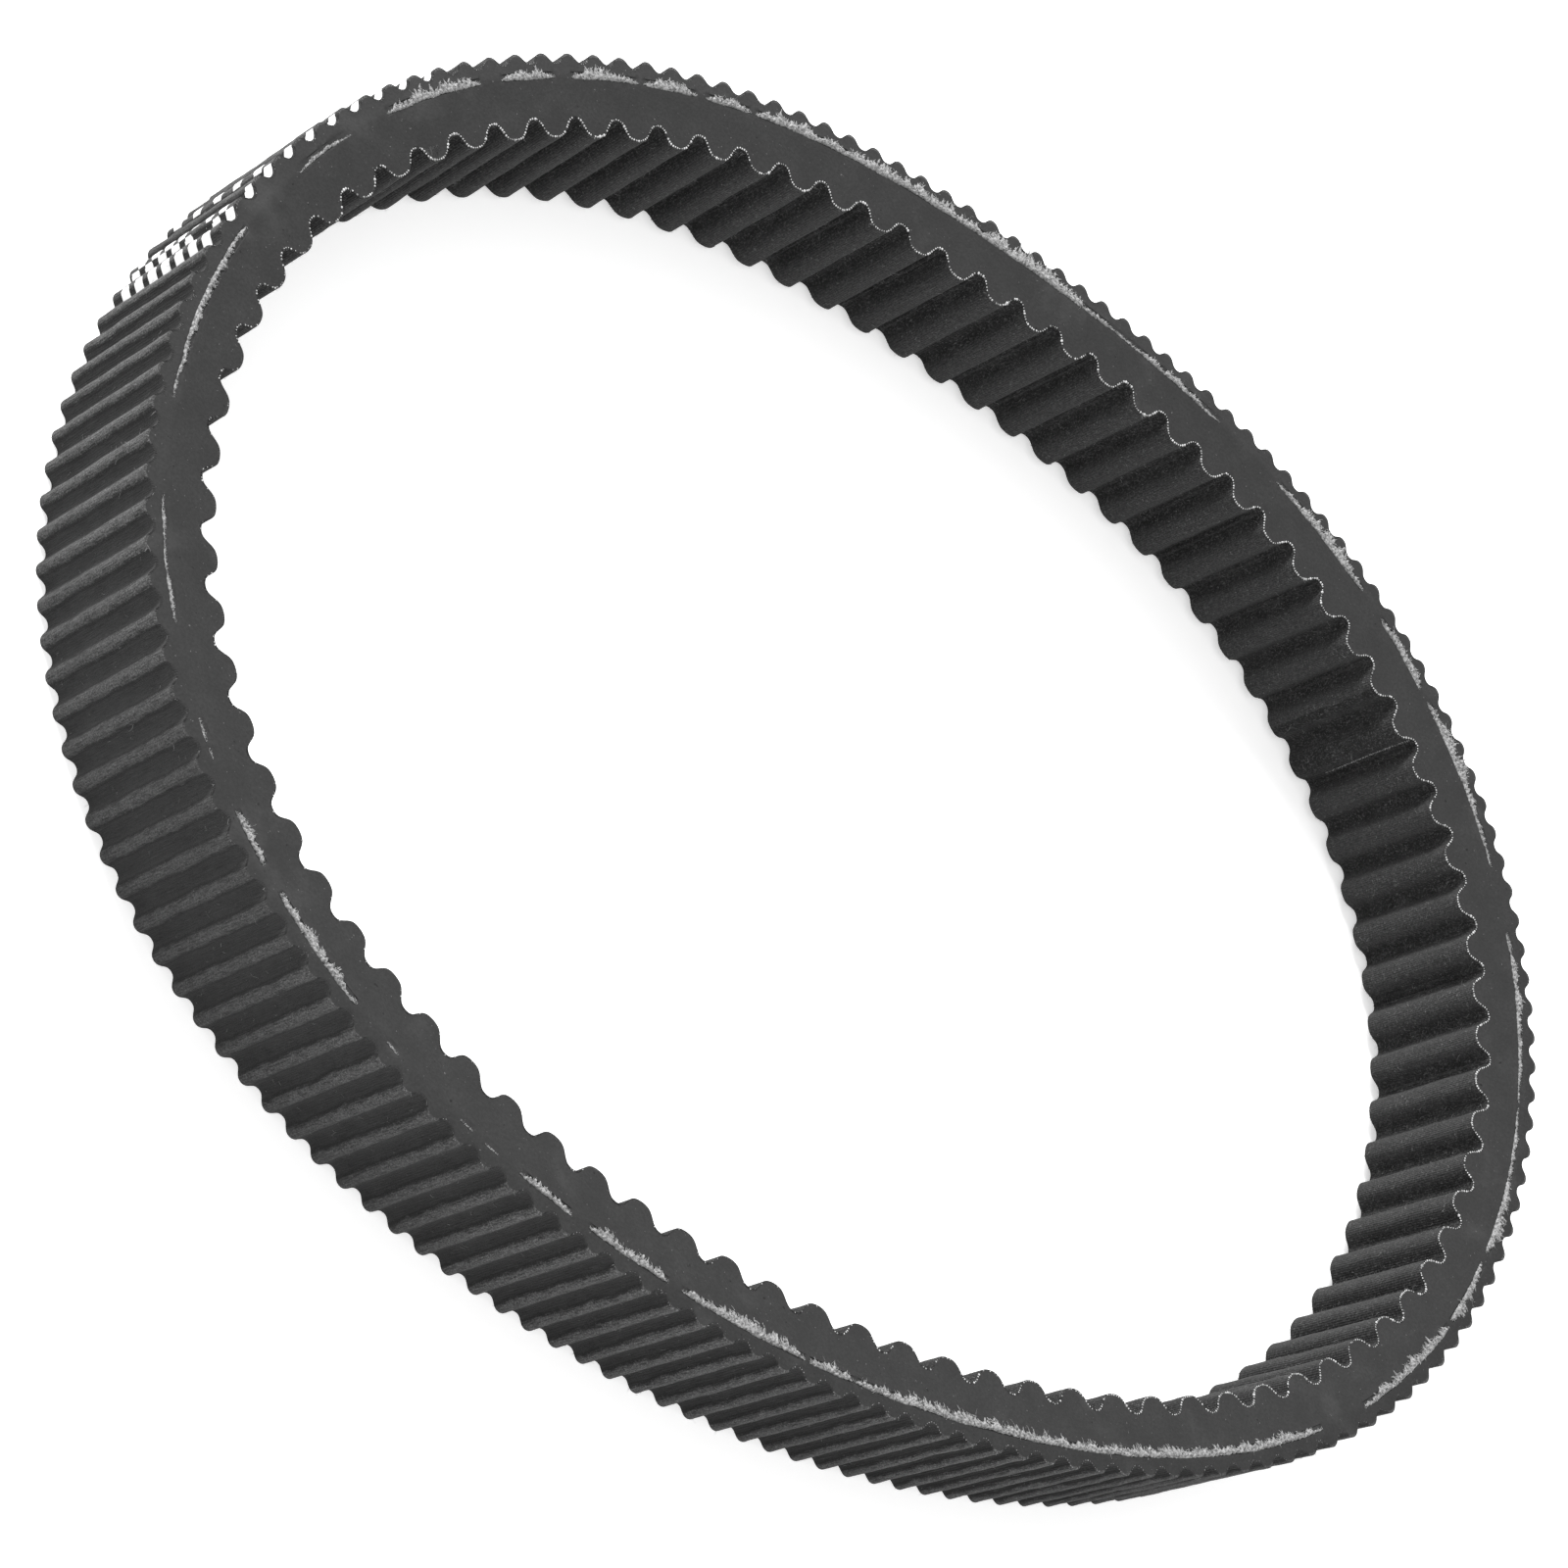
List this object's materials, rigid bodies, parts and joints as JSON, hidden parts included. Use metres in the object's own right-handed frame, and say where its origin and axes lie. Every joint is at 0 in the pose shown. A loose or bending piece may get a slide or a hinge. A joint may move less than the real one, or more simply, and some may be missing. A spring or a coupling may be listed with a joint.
{
  "type": "double-cogged variable-speed V-belt",
  "caption": "Endless double-cogged raw-edge V-belt: angled flanks, deep rounded cogs inside, small cogs outside, tension cords between rubber layers.",
  "frame": {"origin": "on the ground under the centre of the loop's bounding box, with the belt lying on one flank", "axes": "+X along the oval loop's long axis, +Y across it, +Z along the ring's axis, from the flank it rests on to the other"},
  "size_m": [0.3376, 0.2444, 0.034],
  "materials": {
    "belt_rubber": "ground, matte charcoal rubber with faint mottling and fine pale dust",
    "adhesion_rubber": "matte dark grey rubber, a little lighter than the body",
    "outer_facing": "rubber-coated stretch fabric, matte black, ridges rubbed lighter",
    "inner_facing": "rubber-coated stretch fabric with fine ribs along the cogs and light lint",
    "aramid_cord": "pale grey fibrous aramid cord, fuzzy where the flank is cut through it"
  },
  "bodies": {
    "root": {"outer_fabric_facing": "outer_facing", "overcord_rubber": "belt_rubber", "upper_adhesion_rubber": "adhesion_rubber", "tension_cord_turn_01": "aramid_cord", "tension_cord_turn_02": "aramid_cord", "tension_cord_turn_03": "aramid_cord", "tension_cord_turn_04": "aramid_cord", "tension_cord_turn_05": "aramid_cord", "tension_cord_turn_06": "aramid_cord", "tension_cord_turn_07": "aramid_cord", "tension_cord_turn_08": "aramid_cord", "tension_cord_turn_09": "aramid_cord", "tension_cord_turn_10": "aramid_cord", "tension_cord_turn_11": "aramid_cord", "tension_cord_turn_12": "aramid_cord", "tension_cord_turn_13": "aramid_cord", "tension_cord_turn_14": "aramid_cord", "tension_cord_turn_15": "aramid_cord", "tension_cord_turn_16": "aramid_cord", "tension_cord_turn_17": "aramid_cord", "tension_cord_turn_18": "aramid_cord", "lower_adhesion_rubber": "adhesion_rubber", "undercord_rubber": "belt_rubber", "inner_fabric_facing": "inner_facing"}
  },
  "joints": []
}
